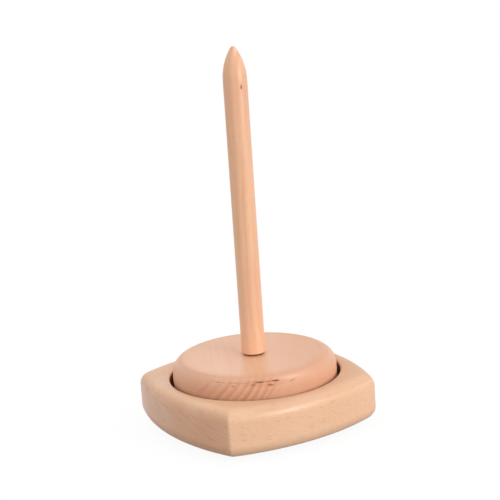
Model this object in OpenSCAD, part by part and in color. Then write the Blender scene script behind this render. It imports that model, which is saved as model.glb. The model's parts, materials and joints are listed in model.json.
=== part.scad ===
// Wooden yarn holder: a pointed spindle on a disc that turns on a ball bearing in a bowed square base.
// Millimetres, +Z up. The origin is on the surface it stands on, under the spindle's axis.

/* [Base block] */
// Width of the base across the middles of two opposite bowed sides
base_w = 103.5; // [96:0.5:130]
// How far each side bows out past the straight line between its corners
side_bow = 8.5; // [5:0.5:12]
// Thickness of the base
base_h = 24.5; // [22:0.5:32]
// Radius of the base's rounded top edge
base_top_round = 6.5; // [3:0.5:8]
// Radius of the base's rounded bottom edge
base_bottom_round = 7; // [3:0.5:8]
// How far the four upright corners are sanded back
corner_ease = 0.25; // [0.1:0.05:1]
// Depth of the round recess that the disc turns in
recess_depth = 11; // [8:0.5:13]
// Radius of the recess's softened rim
recess_rim_round = 1; // [0.3:0.1:2]

/* [Turntable disc] */
// Diameter of the disc
disc_d = 83; // [70:0.5:86]
// Thickness of the disc
disc_t = 20; // [17:0.5:26]
// Radius of the disc's rounded top edge
disc_round = 7; // [3:0.5:9]
// Radius of the disc's softened lower edge
disc_lower_round = 1; // [0.3:0.1:2]
// Running gap between the disc's rim and the recess's wall
rim_gap = 1.8; // [0.8:0.1:3]
// Running gap between the disc's underside and the recess's floor
floor_gap = 1; // [0.8:0.1:2]

/* [Spindle] */
// Diameter of the spindle
spindle_d = 12; // [11:0.5:16]
// Length of the spindle from foot to tip
spindle_l = 154.8; // [100:0.2:220]
// Length of the pointed tip
tip_l = 16.5; // [10:0.5:30]
// Radius of the tip's rounded nose
nose_r = 1.6; // [1:0.1:3]
// Width of the bevel round the spindle's foot
foot_bevel = 0.4; // [0.2:0.1:0.8]

/* [Ball bearing] */
// Bore of the bearing
bearing_bore = 8; // [7:0.5:9]
// Outside diameter of the bearing
bearing_od = 22; // [21:0.5:26]
// Width of the bearing
bearing_w = 7; // [6.5:0.5:9]
// Diameter of each ball
ball_d = 3.969; // [3.5:0.001:4.3]
// Number of balls
ball_count = 7; // [6:1:8]
// Radial distance from the balls' centres to the shoulders of the rings
shoulder = 1.4; // [1.2:0.05:1.6]
// Width of the bevels on the rings' corners
ring_bevel = 0.3; // [0.1:0.1:0.5]
// Thickness of the shields
shield_t = 0.3; // [0.2:0.05:0.4]
// Depth of the shields below the rings' faces
shield_inset = 0.3; // [0.2:0.05:0.4]
// Width of the step in the outer ring that carries a shield
shield_step = 0.8; // [0.5:0.1:1]
// Thickness of the cage's sheet
cage_t = 0.35; // [0.2:0.05:0.4]
// Radial width of the cage's band
cage_w = 2; // [1.4:0.1:2.2]
// Height of the bearing above the recess's floor
bearing_proud = 0.5; // [0.3:0.1:0.6]

/* [Pivot bolt] */
// Diameter of the bolt's head
head_d = 15; // [13:0.5:17]
// Thickness of the bolt's head
head_t = 2.6; // [2.2:0.1:3.2]
// Width of the hexagon socket across its flats
hex_w = 5; // [4:0.5:6]
// Depth of the hexagon socket
hex_depth = 1.8; // [1.2:0.1:2]
// Width of the bevel on the bolt's head and end
bolt_bevel = 0.5; // [0.2:0.1:0.8]
// Length of bolt that is screwed into the disc's insert
bolt_grip = 8.5; // [6:0.5:9]
// Room round the bolt's head in the base's underside
head_room = 1; // [0.5:0.1:1.5]
// Thickness of the washer under the bolt's head
head_washer_t = 1; // [0.5:0.1:1.6]

/* [Inserts and stud] */
// Outside diameter of the insert that takes the bolt
pivot_insert_d = 12; // [11:0.5:14]
// Length of the insert that takes the bolt
pivot_insert_l = 9; // [9:0.5:10]
// Outside diameter of the insert that takes the stud
spindle_insert_d = 9; // [8:0.5:9.5]
// Length of the insert that takes the stud, below its collar
spindle_insert_l = 7; // [6.5:0.5:7.5]
// Diameter of the collar that the spindle stands on
collar_d = 10; // [9.6:0.1:10.5]
// Height of the collar, which is the gap under the spindle's foot
collar_h = 1; // [0.5:0.1:1.5]
// Diameter of the stud
stud_d = 6; // [5:0.5:6]
// Length of stud that is screwed into the insert
stud_grip = 6.5; // [5:0.5:6.5]
// Length of stud that is screwed into the spindle
stud_hold = 20; // [12:1:30]
// Length of the stud's point
stud_point = 3; // [2:0.5:5]

/* [Feet] */
// Diameter of each foot
foot_d = 12; // [8:0.5:16]
// Height of each foot
foot_h = 2; // [1:0.5:4]
// Radius of each foot's lower edge
foot_round = 0.6; // [0.2:0.1:0.9]
// Distance from a corner of the base, along the diagonal, to its foot's centre
foot_inset = 19; // [17:0.5:26]

/* [Fits] */
// Radial clearance of a pressed or screwed seat
seat_gap = 0.03; // [0.01:0.01:0.05]
// Clearance between a ball and its races
race_gap = 0.03; // [0.01:0.01:0.05]
// Clearance between a ball and its cage
cage_gap = 0.06; // [0.03:0.01:0.1]
// Gap between a shield and the inner ring
shield_gap = 0.2; // [0.1:0.05:0.3]
// Radial clearance between a washer and the bolt
washer_gap = 0.2; // [0.1:0.05:0.3]
// How far a washer's rim lies inside the inner ring's shoulder
washer_inset = 0.1; // [0.1:0.05:0.3]

/* [Hidden] */
$fn = 128;

// How far a cutting shape runs past the face that it opens
over = 1;

// Heights, from the surface upwards
base_top = foot_h + base_h;
recess_floor = base_top - recess_depth;
bearing_top = recess_floor + bearing_proud;
bearing_z = bearing_top - bearing_w;
bearing_mid = bearing_top - bearing_w / 2;
disc_z = recess_floor + floor_gap;
disc_top = disc_z + disc_t;
spindle_z = disc_top + collar_h;
head_top = bearing_z - head_washer_t;

// Plan of the base: four arcs that meet at the corners
corner_xy = base_w / 2 - side_bow;
side_r = (pow(corner_xy, 2) + pow(side_bow, 2)) / (2 * side_bow);
corner_r = corner_xy * sqrt(2);
// A rounded side moves its corner in by this much more than it moves itself
corner_stretch = 1 / cos(45 - asin(corner_xy / side_r));
recess_r = disc_d / 2 + rim_gap;
foot_xy = (corner_r - foot_inset) / sqrt(2);

// Spindle: the tip's arc runs from the straight dowel into the round nose without a break
spindle_r = spindle_d / 2;
tip_z = spindle_l - tip_l;
nose_z = spindle_l - nose_r;
tip_r = (pow(spindle_r, 2) - pow(nose_r, 2) + pow(nose_z - tip_z, 2)) / (2 * (spindle_r - nose_r));
tip_join_z = tip_z + (nose_z - tip_z) * tip_r / (tip_r - nose_r);

// Bearing
ball_r = ball_d / 2;
pitch_r = (bearing_bore + bearing_od) / 4;
inner_shoulder_r = pitch_r - shoulder;
outer_shoulder_r = pitch_r + shoulder;
shield_r = outer_shoulder_r + shield_step;
shield_z = bearing_w / 2 - shield_inset - shield_t;
cup_r = ball_r + cage_gap;

// Fixings
bolt_d = bearing_bore - 2 * seat_gap;
spacer_t = floor_gap - bearing_proud;
bolt_l = head_washer_t + bearing_w + spacer_t + bolt_grip;
washer_r = inner_shoulder_r - washer_inset;
access_r = head_d / 2 + head_room;

// Colours
beech_base = [0.86, 0.70, 0.55];
beech_disc = [0.88, 0.69, 0.55];
beech_spindle = [0.85, 0.66, 0.52];
bright_steel = [0.76, 0.77, 0.79];
zinc = [0.68, 0.69, 0.71];
brass = [0.80, 0.66, 0.36];
dark_rubber = [0.16, 0.16, 0.17];

// What a round of the given radius takes off the outer top corner of a profile at [x, y]
module round_cut(x, y, radius) {
    translate([x - radius, y - radius])
        difference() {
            square(radius + over);
            circle(radius);
        }
}

// Half section of a round block with its outer edges rounded
module block_profile(r, h, top_round, bottom_round) {
    difference() {
        square([r, h]);
        round_cut(r, h, top_round);
        mirror([0, 1]) round_cut(r, 0, bottom_round);
    }
}

// A round block with its outer edges rounded
module round_block(r, h, top_round, bottom_round) {
    rotate_extrude() block_profile(r, h, top_round, bottom_round);
}

// A straight ring
module ring(outer_r, inner_r, h) {
    difference() {
        cylinder(r = outer_r, h = h);
        translate([0, 0, -over]) cylinder(r = inner_r, h = h + 2 * over);
    }
}

// Copies of a shape round the bearing's ball circle
module at_each_ball() {
    for (i = [0 : ball_count - 1])
        rotate(360 / ball_count * i) translate([pitch_r, 0, 0]) children();
}

// The large round block whose rim is one bowed side
module side_block(angle) {
    rotate(angle) translate([base_w / 2 - side_r, 0, 0])
        round_block(side_r, base_h, base_top_round, base_bottom_round);
}

// The base's outside: four large round blocks, one for each bowed side, overlap in the bowed square,
// and a fifth, on the spindle's axis, eases its corners
module bowed_block() {
    intersection() {
        round_block(corner_r - corner_ease, base_h, base_top_round * corner_stretch,
                    base_bottom_round * corner_stretch);
        side_block(0);
        side_block(90);
        side_block(180);
        side_block(270);
    }
}

// The space that the disc turns in, with a flare that softens the rim
module recess() {
    rotate_extrude() {
        square([recess_r, recess_depth + over]);
        translate([recess_r, recess_depth - recess_rim_round])
            difference() {
                square([recess_rim_round, recess_rim_round + over]);
                translate([recess_rim_round, 0]) circle(recess_rim_round);
            }
    }
}

module base_block() {
    color(beech_base)
        difference() {
            translate([0, 0, foot_h]) bowed_block();
            translate([0, 0, recess_floor]) recess();
            translate([0, 0, bearing_z])
                cylinder(r = bearing_od / 2 + seat_gap, h = bearing_w + over);
            translate([0, 0, foot_h - over]) cylinder(r = access_r, h = base_h);
        }
}

module turntable_disc() {
    color(beech_disc)
        difference() {
            translate([0, 0, disc_z]) round_block(disc_d / 2, disc_t, disc_round, disc_lower_round);
            translate([0, 0, disc_z - over])
                cylinder(r = pivot_insert_d / 2 + seat_gap, h = pivot_insert_l + over);
            translate([0, 0, disc_top - spindle_insert_l])
                cylinder(r = spindle_insert_d / 2 + seat_gap, h = spindle_insert_l + over);
        }
}

// Half section of the spindle: straight dowel, arched tip and round nose
module spindle_profile() {
    difference() {
        square([spindle_r, tip_z]);
        translate([spindle_r, 0]) rotate(45) square(foot_bevel * sqrt(2), center = true);
    }
    intersection() {
        translate([0, tip_z]) square([spindle_r, tip_join_z - tip_z]);
        translate([spindle_r - tip_r, tip_z]) circle(tip_r);
    }
    intersection() {
        translate([0, tip_join_z]) square([spindle_r, spindle_l - tip_join_z]);
        translate([0, nose_z]) circle(nose_r);
    }
}

module spindle() {
    color(beech_spindle)
        translate([0, 0, spindle_z])
            difference() {
                rotate_extrude() spindle_profile();
                translate([0, 0, -over]) cylinder(r = stud_d / 2 + seat_gap, h = stud_hold + over);
            }
}

module spindle_stud() {
    r = stud_d / 2;
    bevel = bolt_bevel;
    color(zinc)
        translate([0, 0, disc_top - stud_grip])
            rotate_extrude()
                polygon([[0, 0], [r - bevel, 0], [r, bevel],
                         [r, stud_grip + collar_h + stud_hold - stud_point],
                         [0, stud_grip + collar_h + stud_hold]]);
}

module spindle_insert() {
    color(brass)
        difference() {
            union() {
                translate([0, 0, disc_top - spindle_insert_l])
                    cylinder(d = spindle_insert_d, h = spindle_insert_l + collar_h);
                translate([0, 0, disc_top]) cylinder(d = collar_d, h = collar_h);
            }
            translate([0, 0, disc_top - spindle_insert_l - over])
                cylinder(r = stud_d / 2 + seat_gap, h = spindle_insert_l + collar_h + 2 * over);
        }
}

module pivot_insert() {
    color(brass)
        translate([0, 0, disc_z])
            ring(pivot_insert_d / 2, bolt_d / 2 + seat_gap, pivot_insert_l);
}

module pivot_bolt() {
    head_r = head_d / 2;
    shank_r = bolt_d / 2;
    color(zinc)
        difference() {
            translate([0, 0, head_top])
                rotate_extrude()
                    polygon([[0, -head_t], [head_r - bolt_bevel, -head_t], [head_r, bolt_bevel - head_t],
                             [head_r, 0], [shank_r, 0], [shank_r, bolt_l - bolt_bevel],
                             [shank_r - bolt_bevel, bolt_l], [0, bolt_l]]);
            translate([0, 0, head_top - head_t - over])
                cylinder(d = hex_w / cos(30), h = hex_depth + over, $fn = 6);
        }
}

module head_washer() {
    color(zinc)
        translate([0, 0, head_top]) ring(washer_r, bolt_d / 2 + washer_gap, head_washer_t);
}

module spacer_washer() {
    color(zinc)
        translate([0, 0, bearing_top]) ring(washer_r, bolt_d / 2 + washer_gap, spacer_t);
}

// Corner bevel of a bearing ring, as a cut in its half section
module ring_bevel_cut(r, z) {
    translate([r, z]) rotate(45) square(ring_bevel * sqrt(2), center = true);
}

// The groove that the balls run in, in half section
module race_cut() {
    translate([pitch_r, 0]) circle(ball_r + race_gap);
}

module bearing_outer_ring() {
    half_w = bearing_w / 2;
    color(bright_steel)
        translate([0, 0, bearing_mid])
            rotate_extrude()
                difference() {
                    translate([outer_shoulder_r, -half_w])
                        square([bearing_od / 2 - outer_shoulder_r, bearing_w]);
                    race_cut();
                    for (side = [0, 1])
                        mirror([0, side]) {
                            ring_bevel_cut(bearing_od / 2, half_w);
                            translate([outer_shoulder_r - over, shield_z])
                                square([shield_step + over, half_w - shield_z + over]);
                        }
                }
}

module bearing_inner_ring() {
    half_w = bearing_w / 2;
    color(bright_steel)
        translate([0, 0, bearing_mid])
            rotate_extrude()
                difference() {
                    translate([bearing_bore / 2, -half_w])
                        square([inner_shoulder_r - bearing_bore / 2, bearing_w]);
                    race_cut();
                    for (side = [0, 1])
                        mirror([0, side]) ring_bevel_cut(bearing_bore / 2, half_w);
                }
}

module bearing_balls() {
    color(bright_steel)
        translate([0, 0, bearing_mid]) at_each_ball() sphere(d = ball_d);
}

// One pressed half of the cage: a flat band that rises into a cup over each ball
module cage_half() {
    difference() {
        intersection() {
            union() {
                cylinder(r = pitch_r + cage_w, h = cage_t);
                at_each_ball() sphere(cup_r + cage_t);
            }
            ring(pitch_r + cage_w / 2, pitch_r - cage_w / 2, bearing_w);
        }
        at_each_ball() sphere(cup_r);
    }
}

module bearing_cage_upper() {
    color(zinc) translate([0, 0, bearing_mid]) cage_half();
}

module bearing_cage_lower() {
    color(zinc) translate([0, 0, bearing_mid]) mirror([0, 0, 1]) cage_half();
}

// A shield, resting on its step in the outer ring
module shield() {
    translate([0, 0, shield_z])
        ring(shield_r - seat_gap, inner_shoulder_r + shield_gap, shield_t);
}

module bearing_shield_upper() {
    color(bright_steel) translate([0, 0, bearing_mid]) shield();
}

module bearing_shield_lower() {
    color(bright_steel) translate([0, 0, bearing_mid]) mirror([0, 0, 1]) shield();
}

// A foot under one corner: side_x and side_y are -1 or 1
module foot(side_x, side_y) {
    color(dark_rubber)
        translate([side_x * foot_xy, side_y * foot_xy, 0])
            rotate_extrude()
                difference() {
                    square([foot_d / 2, foot_h]);
                    mirror([0, 1]) round_cut(foot_d / 2, 0, foot_round);
                }
}

module foot_front_left() { foot(-1, -1); }
module foot_front_right() { foot(1, -1); }
module foot_back_right() { foot(1, 1); }
module foot_back_left() { foot(-1, 1); }

base_block();
turntable_disc();
spindle();
spindle_stud();
spindle_insert();
pivot_insert();
pivot_bolt();
head_washer();
spacer_washer();
bearing_outer_ring();
bearing_inner_ring();
bearing_balls();
bearing_cage_upper();
bearing_cage_lower();
bearing_shield_upper();
bearing_shield_lower();
foot_front_left();
foot_front_right();
foot_back_right();
foot_back_left();
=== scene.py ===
# %% [markdown]
# # A beech yarn holder
# The holder is a square base with bowed sides, a disc that turns in a recess in the base, and a pointed
# spindle that stands on the disc. A yarn cake drops over the spindle and turns with it as the yarn is pulled.
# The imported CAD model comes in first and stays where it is: it is the frame that every piece is built on.

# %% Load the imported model
import json
import math

import bpy
from mathutils import Matrix, Vector


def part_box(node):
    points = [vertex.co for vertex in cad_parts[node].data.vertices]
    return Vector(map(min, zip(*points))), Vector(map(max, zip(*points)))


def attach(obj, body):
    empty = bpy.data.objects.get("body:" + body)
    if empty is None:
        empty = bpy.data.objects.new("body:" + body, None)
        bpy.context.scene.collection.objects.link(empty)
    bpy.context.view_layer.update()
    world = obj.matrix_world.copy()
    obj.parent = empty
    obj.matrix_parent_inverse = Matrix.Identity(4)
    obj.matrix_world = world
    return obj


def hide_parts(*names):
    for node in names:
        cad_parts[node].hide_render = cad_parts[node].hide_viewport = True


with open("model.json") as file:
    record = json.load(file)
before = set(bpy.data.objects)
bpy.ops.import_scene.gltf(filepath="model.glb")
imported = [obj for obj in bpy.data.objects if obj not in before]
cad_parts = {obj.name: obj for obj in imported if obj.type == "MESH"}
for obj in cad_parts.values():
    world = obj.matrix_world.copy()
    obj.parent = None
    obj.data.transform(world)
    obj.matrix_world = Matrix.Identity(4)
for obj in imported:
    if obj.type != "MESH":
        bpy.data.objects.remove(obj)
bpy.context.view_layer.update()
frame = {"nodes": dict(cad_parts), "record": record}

MM = 0.001
nodes = frame["nodes"]

# %% [markdown]
# ## Camera
# The holder was photographed from the front left of its base, a little above the disc, with a long lens and
# the camera leaning slightly. The camera could be placed by eye, but a lean of a few degrees shows at once on a
# tall spindle. Here it stands on a line from a point on the spindle's axis, is aimed a little beside that point,
# and is then rolled about its own line of sight.

# %% Place the camera
view_azimuth, view_elevation = -31.3296, 15.9618
view_roll = math.radians(3.8953)
stand_off, aim_right, aim_up = 866.42 * MM, 1.70 * MM, 27.45 * MM
focal_px, picture_px, sensor_mm = 1724.475, 500, 36
pivot = Vector((0, 0, 62 * MM))


def toward(azimuth, elevation):
    """The way from the holder to something that stands at this azimuth and elevation, in degrees."""
    turn, lift = math.radians(azimuth), math.radians(elevation)
    return Vector((math.sin(turn) * math.cos(lift), -math.cos(turn) * math.cos(lift), math.sin(lift)))


back = toward(view_azimuth, view_elevation)
right = toward(view_azimuth + 90, 0)
eye = pivot + back * stand_off
aim = pivot + right * aim_right + back.cross(right) * aim_up

sight = (eye - aim).normalized()
level = Vector((0, 0, 1)).cross(sight).normalized()
upright = sight.cross(level)
camera_x = math.cos(view_roll) * level - math.sin(view_roll) * upright
camera_y = math.sin(view_roll) * level + math.cos(view_roll) * upright

camera = bpy.data.objects.new("camera", bpy.data.cameras.new("camera"))
bpy.context.scene.collection.objects.link(camera)
camera.matrix_world = Matrix((
    (camera_x.x, camera_y.x, sight.x, eye.x),
    (camera_x.y, camera_y.y, sight.y, eye.y),
    (camera_x.z, camera_y.z, sight.z, eye.z),
    (0, 0, 0, 1),
))
camera.data.sensor_width = sensor_mm
camera.data.lens = focal_px / picture_px * sensor_mm
camera.data.clip_start, camera.data.clip_end = 0.01, 20
bpy.context.scene.camera = camera
bpy.context.scene.view_settings.view_transform = "Standard"
print("Camera at", [round(c, 3) for c in eye], "lens", round(camera.data.lens, 1))

# %% [markdown]
# ## Writing finishes as sums
# A finish is a tree of nodes. Wired by hand, a wood with rings, rays and fibres soon has fifty of them, and the
# sum behind them gets lost. So one small class stands for a socket, and adding or multiplying two of them adds
# the Math node. Everything that isn't a sum comes from one method, which takes the node's type, its settings and
# its sockets.

# %% A socket that can be reckoned with
class Shade:
    """One value in a finish. Sums on it add Math nodes."""

    def __init__(self, finish, socket):
        self.finish, self.socket = finish, socket

    def math(self, operation, *others):
        return self.finish.sum_of(operation, self, *others)

    def __add__(self, other):
        return self.math("ADD", other)

    def __sub__(self, other):
        return self.math("SUBTRACT", other)

    def __rsub__(self, other):
        return self.finish.sum_of("SUBTRACT", other, self)

    def __mul__(self, other):
        return self.math("MULTIPLY", other)

    def __truediv__(self, other):
        return self.math("DIVIDE", other)

    def __pow__(self, other):
        return self.math("POWER", other)

    __radd__, __rmul__ = __add__, __mul__

    def rise(self, low, high):
        """0 below low, 1 above high, and a smooth rise between."""
        return self.finish.node("MapRange", {"interpolation_type": "SMOOTHSTEP"},
                                {"Value": self, "From Min": low, "From Max": high})["Result"]


print("A Shade is one socket, with sums on it")


# %% A tree that is filled one node at a time
class Finish:
    """The nodes of one material or of the surround."""

    def __init__(self, tree):
        self.tree = tree
        tree.nodes.clear()

    def node(self, kind, settings, sockets):
        """Adds a node and gives its outputs, by name and by place."""
        made = self.tree.nodes.new("ShaderNode" + kind)
        for key, value in settings.items():
            setattr(made, key, value)
        for key, value in sockets.items():
            if isinstance(value, Shade):
                self.tree.links.new(value.socket, made.inputs[key])
            else:
                made.inputs[key].default_value = value
        by_name = {out.name: Shade(self, out) for out in made.outputs}
        by_place = {place: Shade(self, out) for place, out in enumerate(made.outputs)}
        return {**by_name, **by_place}

    def sum_of(self, operation, *terms):
        return self.node("Math", {"operation": operation}, dict(enumerate(terms)))[0]

    def vector(self, operation, *terms):
        return self.node("VectorMath", {"operation": operation}, dict(enumerate(terms)))

    def parts(self, vector):
        split = self.node("SeparateXYZ", {}, {"Vector": vector})
        return split["X"], split["Y"], split["Z"]

    def millimetres(self, place):
        return self.parts(self.vector("MULTIPLY", place, (1 / MM, 1 / MM, 1 / MM))["Vector"])

    def join(self, x, y, z):
        return self.node("CombineXYZ", {}, {"X": x, "Y": y, "Z": z})["Vector"]

    def noise(self, vector, detail, roughness=0.5):
        return self.node("TexNoise", {"noise_dimensions": "3D"},
                         {"Vector": vector, "Scale": 1.0, "Detail": detail, "Roughness": roughness})

    def blend(self, share, colour_a, colour_b, way="MIX"):
        """Colour a, with this share of colour b laid over it."""
        return self.node("Mix", {"data_type": "RGBA", "blend_type": way},
                         {0: share, 6: colour_a, 7: colour_b})[2]


print("A Finish is one node tree, with one method for any node")


# %% Materials and colours
def new_material(name):
    material = bpy.data.materials.new(name)
    material.use_nodes = True
    return material, Finish(material.node_tree)


def tint(red, green, blue):
    """A colour as it is seen on a screen, 0 to 255, as Blender reckons with it."""
    def linear(value):
        value = value / 255
        return value / 12.92 if value <= 0.04045 else ((value + 0.055) / 1.055) ** 2.4
    return (linear(red), linear(green), linear(blue), 1.0)


def from_axis(x, y):
    return (x * x + y * y) ** 0.5


print("Pale beech on a screen (238, 198, 160) is", [round(c, 3) for c in tint(238, 198, 160)[:3]])

# %% [markdown]
# ## Studio
# The holder stands on a white table in front of white. A very bright lamp would make the table white, but it
# would bleach the wood as well. So the light stays plain: an even white surround, one softbox low at the front
# right, and two small ones that only leave glints. The near one mirrors in the base's rounded edge and on the
# spindle's tip, the far one in the disc's rounded edge. The table shows the camera mostly its own white and, for
# the rest, the light that falls on it, so that the holder's soft shadow stays. Close to the holder it mirrors
# less of its white, because there the wood's lower edge faces its own shadow.

# %% White surround
white = (1, 1, 1, 1)
surround_level = 0.88


def rays_that_see(finish, mirrored=1.0):
    """1 for the rays that show a background: straight from the camera or through glass, and this share of the
    mirrored ones."""
    path = finish.node("LightPath", {}, {})
    straight = path["Is Camera Ray"].math("MAXIMUM", path["Is Transmission Ray"])
    return straight.math("MAXIMUM", path["Is Glossy Ray"] * mirrored)


world = bpy.data.worlds.new("white_surround")
world.use_nodes = True
bpy.context.scene.world = world
surround = Finish(world.node_tree)
lit = surround.node("Background", {}, {"Color": white, "Strength": surround_level})["Background"]
seen = surround.node("Background", {}, {"Color": white, "Strength": 1.0})["Background"]
both = surround.node("MixShader", {}, {0: rays_that_see(surround), 1: lit, 2: seen})["Shader"]
surround.node("OutputWorld", {}, {"Surface": both})
print("Surround lights at", surround_level, "and shows as white")

# %% Table
own_white, shadow_mirror = 0.8, 0.4
shadow_from, shadow_to = 55 * MM, 75 * MM
paper_grey, glow_level = 0.42, 1.16
bpy.ops.object.select_all(action="DESELECT")
bpy.ops.mesh.primitive_plane_add(size=6)
table = bpy.context.object
table.name = table.data.name = "table"
table_material, top = new_material("white_table")
from_middle = top.vector("LENGTH", top.node("TexCoord", {}, {})["Object"])["Value"]
mirrored = shadow_mirror + (1 - shadow_mirror) * from_middle.rise(shadow_from, shadow_to)
paper = top.node("BsdfDiffuse", {}, {"Color": (paper_grey, paper_grey, paper_grey, 1)})["BSDF"]
glow = top.node("Emission", {}, {"Color": white, "Strength": glow_level})["Emission"]
shown = rays_that_see(top, mirrored) * own_white
table_shader = top.node("MixShader", {}, {0: shown, 1: paper, 2: glow})["Shader"]
top.node("OutputMaterial", {}, {"Surface": table_shader})
table.data.materials.append(table_material)
print("Table", [round(s, 1) for s in table.dimensions], "m")


# %% Softboxes
def softbox(name, azimuth, elevation, width, height, level, glint, centre=pivot, reach=1.3):
    """An area lamp that faces a point from this far. It adds this level to a white card that faces it there. A
    glint only mirrors in the lacquer; the other lamp only lights."""
    way = toward(azimuth, elevation)
    lamp = bpy.data.lights.new(name, "AREA")
    lamp.shape, lamp.size, lamp.size_y = "RECTANGLE", width, height
    lamp.energy = level * math.pi ** 2 * reach ** 2
    stand = bpy.data.objects.new(name, lamp)
    bpy.context.scene.collection.objects.link(stand)
    stand.location = centre + way * reach
    stand.rotation_mode = "QUATERNION"
    stand.rotation_quaternion = way.to_track_quat("Z", "Y")
    stand.visible_diffuse, stand.visible_glossy = not glint, glint
    print(name, "level", level, "power", round(lamp.energy, 2), "W")


base_front_edge = Vector((-13 * MM, -50 * MM, 24 * MM))
softbox("key_softbox", azimuth=19, elevation=12, width=0.60, height=0.60, level=0.40, glint=False)
softbox("base_glint", azimuth=21, elevation=23, width=0.13, height=0.16, level=0.31, glint=True,
        centre=base_front_edge, reach=0.45)
softbox("disc_glint", azimuth=44, elevation=56, width=0.34, height=0.34, level=0.36, glint=True)

# %% [markdown]
# ## Beech
# Beech is pale, pinkish and close grained. Three things show in it. Growth rings lie round the pith of the tree,
# each with a slightly darker outer edge. Rays run outwards from the pith like thin spindle-shaped sheets; where
# they are cut across they show as the short dark dashes that everyone knows beech by, and on end grain as fine
# lines. Fine fibres and pores run along the tree.
# A flat drawing of grain would have to be stretched over every face. Here the grain fills the wood: each point
# knows how far it lies along the fibre, from the pith and round the pith, so that end grain, side grain and the
# rounded edges between them fit together, as in a piece that is cut from a board.

# %% Where a point lies in its board
class Board:
    """Wood in which each point knows its place in the tree, in millimetres. turn and shift bring the piece's fibre
    onto X and its pith onto the axis; fibre is the fibre's direction in the piece; round_pith is about how far the
    piece lies from the pith."""

    def __init__(self, name, turn, shift, fibre, round_pith):
        self.material, self.wood = new_material(name)
        self.round_pith = round_pith
        wood = self.wood
        texture = wood.node("TexCoord", {}, {})
        self.place = texture["Object"]
        self.grid = wood.node("Mapping", {"vector_type": "POINT"},
                              {"Vector": self.place, "Location": shift, "Rotation": turn,
                               "Scale": (1 / MM, 1 / MM, 1 / MM)})["Vector"]
        self.slow = self.cloud(along=1 / 80, across=1 / 30, detail=2.0)
        sway = wood.vector("MULTIPLY_ADD", self.slow["Color"], (0, 6, 6), (0, -3, -3))["Vector"]
        self.along, across, deep = wood.parts(wood.vector("ADD", self.grid, sway)["Vector"])
        self.out = from_axis(across, deep)
        self.round_angle = deep.math("ARCTAN2", across)
        facing = wood.vector("DOT_PRODUCT", texture["Normal"], fibre)["Value"].math("ABSOLUTE")
        self.end_grain = facing.rise(0.4, 0.95)
        self.flat = wood.parts(texture["Normal"])[2].math("ABSOLUTE")
        self.level_top = self.flat.rise(0.93, 0.995)

    def cloud(self, along, across, detail, roughness=0.5):
        """Noise with this many waves to a millimetre along the fibre and across it."""
        grid = self.wood.vector("MULTIPLY", self.grid, (along, across, across))["Vector"]
        return self.wood.noise(grid, detail, roughness)


print("A board has its fibre along X and its pith on the axis")


# %% Growth rings
def growth_rings(board, ring, years_from, zone):
    """The late wood of each year, 0 to 1: it darkens slowly, ends quickly, and is stronger in some years. With a
    zone it shows only between those distances from the pith, and ends more sharply."""
    wood, out = board.wood, board.out
    phase = (out / ring + board.slow["Fac"] * 1.2).math("FRACT")
    years = wood.noise(wood.join(out / (2 * ring), board.along / 90, years_from), 1.0)["Fac"].rise(0.35, 0.65)
    year_end = 0.88 if zone else 0.78
    late = phase.rise(0.10, 0.75) * (1 - phase.rise(year_end, 1.0))
    if not zone:
        return late * (0.2 + 0.8 * years)
    begin, full, fade, gone = zone
    return late * (0.25 + 0.75 * years) * out.rise(begin, full) * (1 - out.rise(fade, gone))


print("A year darkens slowly and ends quickly")


# %% Rays
def rays(board, length, gap, reach, bare):
    """Dashes that are short along the fibre, thin round the pith and long outwards; some cells have none."""
    wood = board.wood
    spread = wood.join(board.along / length, board.round_angle * (board.round_pith / gap), board.out / reach)
    cell = wood.node("TexVoronoi", {"voronoi_dimensions": "3D", "feature": "F1"},
                     {"Vector": spread, "Scale": 1.0, "Randomness": 1.0})
    strength = wood.parts(cell["Color"])[0].rise(bare, bare + 0.4)
    return (1 - cell["Distance"].rise(0.08, 0.36)) * strength


def ray_flecks(board, ray_length, ray_share):
    """Dashes in two sizes on side grain, fewer on level faces, and fine lines on end grain."""
    wood = board.wood
    wide = rays(board, ray_length, gap=0.95, reach=36.0, bare=1 - ray_share)
    fine = rays(board, 0.6 * ray_length, gap=0.60, reach=24.0, bare=0.2)
    dashes = wide.math("MAXIMUM", fine * 0.6)
    dashes = dashes * (1 - 0.6 * board.end_grain) * (1 - 0.7 * board.flat.rise(0.25, 0.8))
    spread = wood.join(board.round_angle * (board.round_pith / 0.7), board.out / 12, board.along / 50)
    lines = wood.noise(spread, 2.0)["Fac"].rise(0.5, 0.72)
    return dashes.math("MAXIMUM", lines * board.end_grain * 0.8)


print("Rays show as dashes in two sizes, and as fine lines on end grain")


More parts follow.
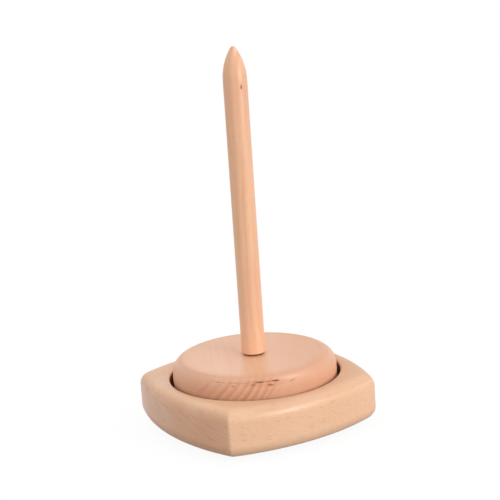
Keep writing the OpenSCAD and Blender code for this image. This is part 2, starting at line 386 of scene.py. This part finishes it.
# %% Grain of a piece cut from a board
def beech(board, tones, ring, ring_depth, dash_depth, gloss, marks, ray_length=4.4, ray_share=0.5,
          side_rings=0.15, years_from=5.0, ring_zone=None, fibre_depth=0.16, bounce_shade=None, end_dull=0.03):
    """ring is a year's width and years_from picks which years are strong; ring_zone is how far from the pith the
    rings begin, are full, fade and end; side_rings is how much of them shows along the fibre; ray_length is a
    dash's length and ray_share the share of the wide ones that show; the depths are how strongly rings, dashes and
    fibres show; bounce_shade is painted light: the way in which the wood is painted darker away from bounced light,
    from where to where, and how much of that shows on the rim; gloss is the lacquer's roughness and end_dull what
    end grain adds to it; marks draws the marks that the piece alone has, and the painted shade of the base and
    disc."""
    wood, end_grain = board.wood, board.end_grain
    late = growth_rings(board, ring, years_from, ring_zone)
    fleck = ray_flecks(board, ray_length, ray_share)
    streak = board.cloud(along=1 / 18, across=1.3, detail=4.0, roughness=0.6)["Fac"].rise(0.3, 0.7)
    pores = board.cloud(along=1 / 1.6, across=4.5, detail=1.0)["Fac"].rise(0.55, 0.75)
    patch = board.cloud(along=1 / 70, across=1 / 20, detail=2.0)["Fac"].rise(0.3, 0.7)
    mark, stain_and_shade, dent, dull = marks(wood, board.place)

    ring_share = late * ring_depth * (side_rings + (1 - side_rings) * end_grain)
    colour = wood.blend(patch, tones["pale"], tones["pink"])
    colour = wood.blend(ring_share + fibre_depth * streak, colour, tones["late"])
    colour = wood.blend(fleck * dash_depth + 0.08 * pores, colour, tones["ray"])
    colour = wood.blend(end_grain, colour, tones["end"], "MULTIPLY")
    colour = wood.blend(1 - board.level_top, colour, tones["rim"], "MULTIPLY")
    # Painted light: darker away from where light bounces onto the piece
    if bounce_shade:
        way, begin, full, on_rim = bounce_shade
        depth = wood.vector("DOT_PRODUCT", board.place, [w / MM for w in way])["Value"]
        share = depth.rise(begin, full) * (on_rim + (1 - on_rim) * board.level_top)
        colour = wood.blend(share, colour, tones["bounce_shade"], "MULTIPLY")
    # A real stain on the spindle; on the base, and partly on the disc, this is painted shade
    colour = wood.blend(stain_and_shade, colour, tones["stain_and_shade"], "MULTIPLY")

    rough = gloss + 0.05 * streak + end_dull * end_grain + 0.02 * fleck + dull
    height = 0.5 - 0.15 * streak - 0.2 * dash_depth * fleck - 0.20 * pores - 0.08 * late - dent
    relief = wood.node("Bump", {}, {"Strength": 0.4, "Distance": 0.05 * MM, "Height": height})["Normal"]
    lacquered = wood.node("BsdfPrincipled", {}, {"Base Color": colour, "Roughness": rough, "Normal": relief,
                                                 "IOR": 1.5})["BSDF"]
    # Matt bare wood for the torn fibres and the knot; on the base it shows the recess wall's painted shade
    matt_mark_or_shade = wood.node("BsdfPrincipled", {}, {"Base Color": tones["mark"], "Roughness": 0.9, "Normal": relief,
                                            "Specular IOR Level": 0.05})["BSDF"]
    shader = wood.node("MixShader", {}, {0: mark, 1: lacquered, 2: matt_mark_or_shade})["Shader"]
    wood.node("OutputMaterial", {}, {"Surface": shader})
    print(board.material.name, "has", len(board.material.node_tree.nodes), "nodes")
    return board.material


print("A piece takes its grain from its board, and its tones and marks are its own")

# %% [markdown]
# ### Marks that a turner leaves, and painted shade
# Nothing that is turned from a board is quite clean. Where the tool met the end grain of the disc, it lifted a
# few fibres in a broken dark line round the rounded edge. A pin knot shows near the spindle's tip. Shade is painted
# in too: the recess wall is painted dark, the disc a little darker where its top turns into the rounded edge, and
# the base's upper edge at the front right a little darker, with duller lacquer. The marks could be cut into the
# mesh, but they are shallower than a hair, so they are drawn into the finish. Each piece's marks say four things:
# where bare torn wood or dark painted shade shows, which has a matt shader of its own, where the wood is stained or
# painted with shade, where it is dented, and where the lacquer is dull.

# %% A soft spot
def spot(x, z, centre_x, centre_z, half_x, half_z, slope=0.0):
    """An oval with a soft edge, 1 in the middle, in two directions of a surface."""
    dx = x - centre_x
    dz = z - centre_z - slope * dx
    far = (dx * dx * (1 / half_x ** 2) + dz * dz * (1 / half_z ** 2)) ** 0.5
    return 1 - far.rise(0.35, 1.0)


print("A spot is 1 in its middle and 0 at its edge")

# %% Torn fibres on the disc
rim_radius, torn_height = 39.0, 33.85
# Each splinter: its place round the rim and up, half its length and thickness, its slope and its depth
splinters = (
    (-80.7, 34.12, 3.2, 0.42, -0.02, 0.80), (-76.8, 34.15, 2.6, 0.32, -0.02, 0.45),
    (-73.0, 34.10, 2.9, 0.46, -0.03, 0.90), (-75.7, 32.60, 1.9, 0.65, -0.10, 0.60),
    (-84.0, 33.20, 1.6, 0.50, 0.10, 0.45), (-93.3, 32.70, 1.5, 0.50, -0.10, 0.35),
    (-64.7, 33.00, 2.6, 0.60, 0.25, 0.25),
)


def torn_fibres(wood, place):
    x, y, z = wood.millimetres(place)
    round_rim = y.math("ARCTAN2", x) * rim_radius
    jitter = wood.noise(wood.join(round_rim * 0.45, z * 0.2, 3.0), 2.0)["Fac"]
    broken = wood.noise(wood.join(round_rim * 0.45, z * 1.2, 7.0), 2.0, 0.6)["Fac"].rise(0.42, 0.62)
    line = 1 - (z - torn_height - jitter * 0.5).math("ABSOLUTE").rise(0.04, 0.30)
    stretch = round_rim.rise(-107.0, -104.0) * (1 - round_rim.rise(-86.0, -82.0))
    mark = line * stretch * broken * 0.45
    for along, height, half, thick, slope, depth in splinters:
        mark = mark.math("MAXIMUM", spot(round_rim, z, along, height, half, thick, slope) * depth)
    out = from_axis(x, y)
    outer = out.rise(30.0, 32.0)
    mark = mark * outer
    smudge = spot(round_rim, z, -78.0, 33.6, half_x=18.0, half_z=2.2, slope=-0.02) * outer
    # Painted shade: a band where the flat top turns into the rounded edge is drawn darker
    painted_edge_shade = out.rise(30.5, 35.0) * (1 - out.rise(36.0, 38.5)) * z.rise(30.0, 33.0)
    dull = (1 - z.rise(32.4, 34.0)) * 0.19
    return mark, smudge.math("MAXIMUM", painted_edge_shade * 0.6), mark * 0.4, dull


print("Torn line at", torn_height, "mm with", len(splinters), "splinters")

# %% Pin knot in the spindle
knot_x, knot_height = -0.35, 173.0


def pin_knot(wood, place):
    x, y, z = wood.millimetres(place)
    front = 1 - y.rise(-4.0, -3.0)
    knot = spot(x, z, knot_x, knot_height, half_x=0.55, half_z=1.7) * front
    halo = spot(x, z, knot_x, knot_height, half_x=1.3, half_z=4.5) * front
    return knot * 0.85, halo * 0.6, knot * 0.6, knot * 0.2


print("Pin knot at", knot_height, "mm")

# %% Painted shade on the recess wall and on the base's front right edge
wall_radius = 43.2


# Painted shade: the recess wall is drawn dark, through the matt mark shader, as the shade in the deep recess
def painted_base_shade(wood, place):
    x, y, z = wood.millimetres(place)
    on_wall = 1 - (from_axis(x, y) - wall_radius).math("ABSOLUTE").rise(0.25, 0.7)
    wall = on_wall * z.rise(14.6, 15.4) * (1 - z.rise(25.0, 26.1))
    cloud = wood.noise(wood.join(x * 0.12, y * 0.12, z * 0.6), 3.0)["Fac"]
    # Painted shade: the base's front right edge is drawn a little darker, and its lacquer is made duller
    dull_shaded_edge = (0.85 * x - 0.52 * y).rise(-20.0, 8.0) * z.rise(22.7, 24.2)
    stain_and_shade = (wall * cloud).math("MAXIMUM", dull_shaded_edge)
    return wall * (0.55 + 0.4 * cloud), stain_and_shade, wall * cloud * 0.3, dull_shaded_edge * 0.31


print("Painted recess shade at radius", wall_radius, "mm")

# %% [markdown]
# ### Three boards
# The base, the disc and the spindle come from different boards. The base shows rows of dashes along its front, the
# disc shows rings on its front rim, where its end grain comes out, and the spindle straight fibres from foot to
# tip. One finish could do for all three, but the grain would then run on from piece to piece, as if the holder
# were carved from one block. So each piece has a board with its own pith and fibre, and tones of its own.

# %% Three boards
# All of the base's marks are painted shade: its mark and stain tones colour the recess wall and the front right
# edge
base_finish = beech(
    Board("base_beech", turn=(0, 0, 0), shift=(0, 107, 8), fibre=(1, 0, 0), round_pith=75.0),
    tones={"pale": tint(241, 197, 161), "pink": tint(237, 188, 151), "late": tint(217, 163, 125),
           "ray": tint(196, 138, 98), "end": tint(241, 234, 232), "rim": tint(254, 254, 254),
           "mark": tint(66, 34, 16), "stain_and_shade": tint(244, 243, 243)},
    ring=3.0, ring_depth=0.06, dash_depth=0.46, ray_length=6.0, ray_share=0.68, gloss=0.29, marks=painted_base_shade)

disc_fibre = math.radians(-118)
across_disc = (math.sin(-disc_fibre), math.cos(-disc_fibre), 0)
# The disc is darker and warmer towards the front right: painted warm light bounced from the base, and a deeper wood
# tone where its rings stop. Its stain tone is partly painted shade.
disc_finish = beech(
    Board("disc_beech", turn=(0, 0, -disc_fibre), shift=(0, 200, -156.5),
          fibre=(math.cos(disc_fibre), math.sin(disc_fibre), 0), round_pith=238.0),
    tones={"pale": tint(243, 196, 163), "pink": tint(239, 187, 152), "late": tint(208, 150, 114),
           "ray": tint(176, 120, 86), "end": tint(252, 249, 248), "rim": tint(243, 234, 231),
           "bounce_shade": tint(246, 235, 224), "mark": tint(122, 57, 24), "stain_and_shade": tint(249, 239, 230)},
    ring=3.3, ring_depth=0.68, dash_depth=0.03, years_from=3.1, ring_zone=(209, 218, 238, 246), fibre_depth=0.08,
    bounce_shade=(across_disc, -26, 30, 0.4), gloss=0.31, end_dull=0.17, marks=torn_fibres)

# The spindle is painted darker from its foot upwards, so that its foot looks lit by light bounced from the disc
spindle_finish = beech(
    Board("spindle_beech", turn=(0, math.pi / 2, 0), shift=(0, 28.6, 17.2), fibre=(0, 0, 1), round_pith=36.0),
    tones={"pale": tint(252, 213, 177), "pink": tint(244, 199, 166), "late": tint(232, 170, 128),
           "ray": tint(180, 124, 90), "end": tint(243, 236, 232), "rim": tint(255, 246, 240),
           "bounce_shade": tint(246, 239, 237), "mark": tint(116, 58, 20), "stain_and_shade": tint(246, 236, 228)},
    ring=3.4, ring_depth=0.5, dash_depth=0.10, side_rings=0.7, bounce_shade=((0, 0, 1), 36, 110, 1.0), gloss=0.34,
    marks=pin_knot)

# %% [markdown]
# ## Turned pieces
# The disc and the spindle are turned on a lathe, so each is one half section swept once round the axis. A
# cylinder with bevelled edges would give nearly the same, but the seats for the inserts would then have to be cut
# out of it. Here the section is drawn point by point, as a turner draws a template, with an arc wherever the
# real edge is rounded, and one spin makes the solid.

# %% Draw a section and turn it
weld = 1e-6


class Section:
    """A half section that is drawn with X outwards and Z upwards, in millimetres."""

    def __init__(self, name, x, z):
        bpy.ops.object.select_all(action="DESELECT")
        bpy.ops.mesh.primitive_plane_add(size=0.01)
        self.piece = bpy.context.object
        self.piece.name = self.piece.data.name = name
        bpy.ops.object.mode_set(mode="EDIT")
        bpy.ops.mesh.select_mode(type="VERT")
        bpy.ops.mesh.merge(type="CENTER")
        bpy.ops.transform.translate(value=(x * MM, 0, z * MM))
        self.x, self.z = x, z

    def line(self, x, z, steps=1):
        step = ((x - self.x) / steps * MM, 0, (z - self.z) / steps * MM)
        for _ in range(steps):
            bpy.ops.mesh.extrude_region_move(TRANSFORM_OT_translate={"value": step})
        self.x, self.z = x, z

    def arc(self, centre_x, centre_z, degrees, steps):
        """Round a centre; a positive angle turns from Z towards X."""
        turn = math.radians(degrees)
        bpy.ops.mesh.spin(steps=steps, angle=-turn, center=(centre_x * MM, 0, centre_z * MM), axis=(0, 1, 0))
        dx, dz = self.x - centre_x, self.z - centre_z
        self.x = centre_x + dx * math.cos(turn) + dz * math.sin(turn)
        self.z = centre_z + dz * math.cos(turn) - dx * math.sin(turn)

    def turn(self, steps):
        bpy.ops.mesh.select_all(action="SELECT")
        bpy.ops.mesh.spin(steps=steps, angle=2 * math.pi, center=(0, 0, 0), axis=(0, 0, 1))
        bpy.ops.mesh.select_all(action="SELECT")
        bpy.ops.mesh.remove_doubles(threshold=weld)
        bpy.ops.mesh.dissolve_degenerate(threshold=weld / 10)
        bpy.ops.mesh.select_all(action="SELECT")
        bpy.ops.mesh.normals_make_consistent(inside=False)
        bpy.ops.object.mode_set(mode="OBJECT")
        return self.piece


print("A turned section is welded within", weld / MM, "mm")


# %% Finish a piece
def faces_per_edge(piece):
    uses = {}
    for face in piece.data.polygons:
        for key in face.edge_keys:
            uses[key] = uses.get(key, 0) + 1
    return uses


def finish_piece(piece, node, body, material, sharp=30):
    """Smooths the piece, gives it its finish and lets it stand for its CAD node."""
    bpy.ops.object.select_all(action="DESELECT")
    piece.select_set(True)
    bpy.context.view_layer.objects.active = piece
    bpy.ops.object.shade_smooth_by_angle(angle=math.radians(sharp))
    piece.data.materials.clear()
    piece.data.materials.append(material)
    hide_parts(node)
    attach(piece, body)
    open_edges = sum(1 for count in faces_per_edge(piece).values() if count != 2)
    low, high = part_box(node)
    size = [round(s / MM, 2) for s in piece.dimensions]
    print(piece.name, "faces", len(piece.data.polygons), "open edges", open_edges, "size", size,
          "CAD", [round((h - l) / MM, 2) for l, h in zip(low, high)])


print("A closed piece has two faces on every edge")

# %% Disc
disc_low, disc_high, disc_radius = 16.5, 36.5, 41.5
disc_round_above, disc_round_below = 7.0, 1.0
upper_seat, upper_floor, upper_bevel = 4.53, 29.5, 0.25
lower_seat, lower_floor, lower_bevel = 6.03, 25.5, 0.30
disc = Section("disc_wood", 0, upper_floor)
disc.line(upper_seat, upper_floor)
disc.line(upper_seat, disc_high - upper_bevel)
disc.line(upper_seat + upper_bevel, disc_high)
disc.line(disc_radius - disc_round_above, disc_high, steps=6)
disc.arc(disc_radius - disc_round_above, disc_high - disc_round_above, degrees=90, steps=14)
disc.line(disc_radius, disc_low + disc_round_below, steps=3)
disc.arc(disc_radius - disc_round_below, disc_low + disc_round_below, degrees=90, steps=5)
disc.line(lower_seat + lower_bevel, disc_low, steps=4)
disc.line(lower_seat, disc_low + lower_bevel)
disc.line(lower_seat, lower_floor)
disc.line(0, lower_floor)
finish_piece(disc.turn(steps=160), "turntable_disc", "turntable", disc_finish)

# %% Spindle
spindle_radius, spindle_foot, foot_bevel = 6.0, 37.5, 0.15
shoulder, tip_length, nose_radius = 175.8, 14.9, 1.6
stud_seat, stud_floor, stud_bevel = 3.03, 57.5, 0.30
tip_radius = (spindle_radius ** 2 - nose_radius ** 2 + tip_length ** 2) / (2 * (spindle_radius - nose_radius))
tip_angle = math.degrees(math.atan2(tip_length, tip_radius - spindle_radius))
spindle = Section("spindle_wood", 0, stud_floor)
spindle.line(stud_seat, stud_floor)
spindle.line(stud_seat, spindle_foot + stud_bevel)
spindle.line(stud_seat + stud_bevel, spindle_foot)
spindle.line(spindle_radius - foot_bevel, spindle_foot)
spindle.line(spindle_radius, spindle_foot + foot_bevel)
spindle.line(spindle_radius, shoulder, steps=24)
spindle.arc(spindle_radius - tip_radius, shoulder, degrees=-tip_angle, steps=14)
spindle.arc(0, shoulder + tip_length, degrees=tip_angle - 90, steps=10)
print("Tip arc", round(tip_radius, 2), "mm over", round(tip_angle, 1), "degrees, ends at",
      round(spindle.x, 3), round(spindle.z, 2))
finish_piece(spindle.turn(steps=72), "spindle", "turntable", spindle_finish)

# %% [markdown]
# ## Base
# The base is a square block whose four sides bow outwards, with generous round-overs that meet in mitres at the
# corners. It could be carved out of a cube, but the bow would then have to be bent in. Here a point is swung along
# one bowed side after another, as with a trammel, which closes the plan. The plan is filled and raised, its edges
# are bevelled round, and the mitres are eased with a last small bevel. The recess, the bearing's pocket and the
# bore below it are turned as one inner skin, and two bridges join it to the outside.

# %% Bowed block
base_low, base_high = 2.0, 26.5
bow_radius, bow_centre, corner_xy = 114.2798, 62.5298, 43.25
half_angle = math.asin(corner_xy / bow_radius)
bpy.ops.object.select_all(action="DESELECT")
bpy.ops.mesh.primitive_plane_add(size=0.01)
base = bpy.context.object
base.name = base.data.name = "base_wood"
bpy.ops.object.mode_set(mode="EDIT")
bpy.ops.mesh.merge(type="CENTER")
bpy.ops.transform.translate(value=(-corner_xy * MM, -corner_xy * MM, base_low * MM))
for side_x, side_y in ((0, 1), (-1, 0), (0, -1), (1, 0)):
    bpy.ops.mesh.spin(steps=20, angle=-2 * half_angle,
                      center=(side_x * bow_centre * MM, side_y * bow_centre * MM, 0), axis=(0, 0, 1))
bpy.ops.mesh.select_all(action="SELECT")
bpy.ops.mesh.remove_doubles(threshold=weld)
bpy.ops.mesh.select_all(action="SELECT")
bpy.ops.mesh.edge_face_add()
bpy.ops.mesh.extrude_region_move(TRANSFORM_OT_translate={"value": (0, 0, (base_high - base_low) * MM)})
bpy.ops.object.mode_set(mode="OBJECT")
print("Plan points:", len(base.data.vertices) // 2, "width",
      round(max(v.co.x for v in base.data.vertices) * 2 / MM, 2))


# %% Pick edges by their place
tolerance = 0.01


def near(value, target):
    return abs(value - target) < tolerance


def select_edges(piece, wanted):
    """Selects the edges that pass a test on their two ends and their key, counts them, and stays in edit mode."""
    bpy.ops.object.mode_set(mode="EDIT")
    bpy.ops.mesh.select_mode(type="EDGE")
    bpy.ops.mesh.select_all(action="DESELECT")
    bpy.ops.object.mode_set(mode="OBJECT")
    points = [v.co / MM for v in piece.data.vertices]
    chosen = [e for e in piece.data.edges if wanted(points[e.vertices[0]], points[e.vertices[1]], e.key)]
    for edge in chosen:
        edge.select = True
    bpy.ops.object.mode_set(mode="EDIT")
    return len(chosen)


print("Edges are picked to", tolerance, "mm")


# %% Round the edges
def at_height(height):
    return lambda a, b, key: near(a.z, height) and near(b.z, height)


def on_mitre(a, b, key):
    return near(abs(a.x), abs(a.y)) and near(abs(b.x), abs(b.y)) and abs(a.x) > 30


for edge_name, wanted, round_over, segments in (("top", at_height(base_high), 6.5, 10),
                                                ("bottom", at_height(base_low), 7.0, 10),
                                                ("mitre", on_mitre, 0.9, 4)):
    count = select_edges(base, wanted)
    bpy.ops.mesh.bevel(offset_type="OFFSET", offset=round_over * MM, segments=segments, profile=0.5,
                       clamp_overlap=True)
    print("Rounded", count, edge_name, "edges by", round_over, "mm")
bpy.ops.object.mode_set(mode="OBJECT")

# %% Recess, pocket and bore
recess_radius, recess_floor, recess_round = 43.3, 15.5, 1.0
pocket_radius, pocket_floor, pocket_bevel = 11.03, 9.0, 0.30
bore_radius, bore_bevel = 8.5, 0.4
hollow = Section("base_hollow", recess_radius + recess_round, base_high)
hollow.arc(recess_radius + recess_round, base_high - recess_round, degrees=-90, steps=6)
hollow.line(recess_radius, recess_floor, steps=3)
hollow.line(pocket_radius + pocket_bevel, recess_floor, steps=4)
hollow.line(pocket_radius, recess_floor - pocket_bevel)
hollow.line(pocket_radius, pocket_floor)
hollow.line(bore_radius, pocket_floor)
hollow.line(bore_radius, base_low + bore_bevel)
hollow.line(bore_radius + bore_bevel, base_low)
skin = hollow.turn(steps=160)
print("Hollow faces", len(skin.data.polygons))

# %% Open the block above and below
large_area = 1000 * MM * MM
bpy.ops.object.select_all(action="DESELECT")
bpy.context.view_layer.objects.active = base
bpy.ops.object.mode_set(mode="EDIT")
bpy.ops.mesh.select_mode(type="FACE")
bpy.ops.mesh.select_all(action="DESELECT")
bpy.ops.object.mode_set(mode="OBJECT")
flats = [f for f in base.data.polygons if abs(f.normal.z) > 0.999 and f.area > large_area]
for face in flats:
    face.select = True
print("Opened", len(flats), "flat faces")
bpy.ops.object.mode_set(mode="EDIT")
bpy.ops.mesh.delete(type="ONLY_FACE")
bpy.ops.object.mode_set(mode="OBJECT")

# %% Join the outside and the hollow
base.select_set(True)
skin.select_set(True)
bpy.context.view_layer.objects.active = base
bpy.ops.object.join()
for height in (base_high, base_low):
    uses = faces_per_edge(base)
    rim_edges = select_edges(base, lambda a, b, key: uses.get(key) == 1 and near(a.z, height))
    bpy.ops.mesh.bridge_edge_loops()
    bpy.ops.object.mode_set(mode="OBJECT")
    print("Bridged", rim_edges, "rim edges at", height)
bpy.ops.object.mode_set(mode="EDIT")
bpy.ops.mesh.select_all(action="SELECT")
bpy.ops.mesh.remove_doubles(threshold=weld)
bpy.ops.mesh.select_all(action="SELECT")
bpy.ops.mesh.normals_make_consistent(inside=False)
bpy.ops.object.mode_set(mode="OBJECT")
finish_piece(base, "base_block", "base", base_finish)

# %% [markdown]
# ## Metal and rubber
# Under the disc sits a small ball bearing, held by a bolt, two washers and threaded inserts, and the base stands
# on four rubber feet. Their CAD shapes are right, so they keep them and only get finishes. Metal is never quite
# even: turned parts carry fine rings from the tool, plated ones a faint cloudiness, and pressed ones scuffs.

# %% Metals
def metal(name, colour, dull_colour, rough, rings, cloud):
    """Metal with fine tool rings about the axis and a cloudy dullness."""
    material, bar = new_material(name)
    x, y, z = bar.millimetres(bar.node("TexCoord", {}, {})["Object"])
    lathe = bar.noise(bar.join(from_axis(x, y) * rings, z * rings, x * 0.05), 3.0, 0.6)["Fac"]
    dull = bar.noise(bar.join(x * 0.6, y * 0.6, z * 0.6), 4.0, 0.6)["Fac"].rise(0.3, 0.75)
    tone = bar.blend(dull * cloud + 0.25 * lathe, colour, dull_colour)
    relief = bar.node("Bump", {}, {"Strength": 0.3, "Distance": 0.01 * MM, "Height": lathe})["Normal"]
    shader = bar.node("BsdfPrincipled", {}, {"Base Color": tone, "Metallic": 1.0, "Normal": relief,
                                             "Roughness": rough + 0.12 * dull + 0.08 * lathe})["BSDF"]
    bar.node("OutputMaterial", {}, {"Surface": shader})
    return material


print("Metal carries tool rings and a cloudy dullness")


# %% Rubber
def rubber(name):
    """Dark rubber with a fine moulded grain and a little dust."""
    material, pad = new_material(name)
    place = pad.node("TexCoord", {}, {})["Object"]
    fine = pad.noise(pad.vector("MULTIPLY", place, (4000, 4000, 4000))["Vector"], 3.0, 0.7)["Fac"]
    dusty = pad.noise(pad.vector("MULTIPLY", place, (250, 250, 250))["Vector"], 3.0)["Fac"].rise(0.4, 0.8)
    tone = pad.blend(dusty * 0.5 + 0.2 * fine, tint(40, 40, 42), tint(86, 84, 82))
    relief = pad.node("Bump", {}, {"Strength": 0.5, "Distance": 0.03 * MM, "Height": fine})["Normal"]
    shader = pad.node("BsdfPrincipled", {}, {"Base Color": tone, "Roughness": 0.62 + 0.25 * fine,
                                             "Normal": relief})["BSDF"]
    pad.node("OutputMaterial", {}, {"Surface": shader})
    return material


print("Rubber has a moulded grain and a little dust")

# %% Give the CAD pieces their finishes
finishes = {
    "zinc_steel": metal("zinc_steel", tint(206, 209, 214), tint(168, 172, 180),
                        rough=0.28, rings=6.0, cloud=0.6),
    # The inserts' brass gets a dark brown tone, which paints the shade in the gap under the spindle's foot
    "insert_brass": metal("insert_brass", tint(150, 104, 58), tint(104, 66, 38),
                          rough=0.34, rings=8.0, cloud=0.7),
    "bearing_steel": metal("bearing_steel", tint(218, 220, 224), tint(186, 189, 195),
                           rough=0.18, rings=12.0, cloud=0.3),
    "ball_steel": metal("ball_steel", tint(226, 228, 232), tint(206, 208, 212),
                        rough=0.07, rings=1.0, cloud=0.2),
    "pressed_steel": metal("pressed_steel", tint(196, 198, 202), tint(158, 160, 166),
                           rough=0.34, rings=3.0, cloud=0.6),
    "foot_rubber": rubber("foot_rubber"),
}
for part in frame["record"]["subparts"]:
    slot = part["material_slot"]
    if slot in finishes:
        node = nodes[part["node"]]
        node.data.materials.clear()
        node.data.materials.append(finishes[slot])
        print(part["node"], "is", slot)
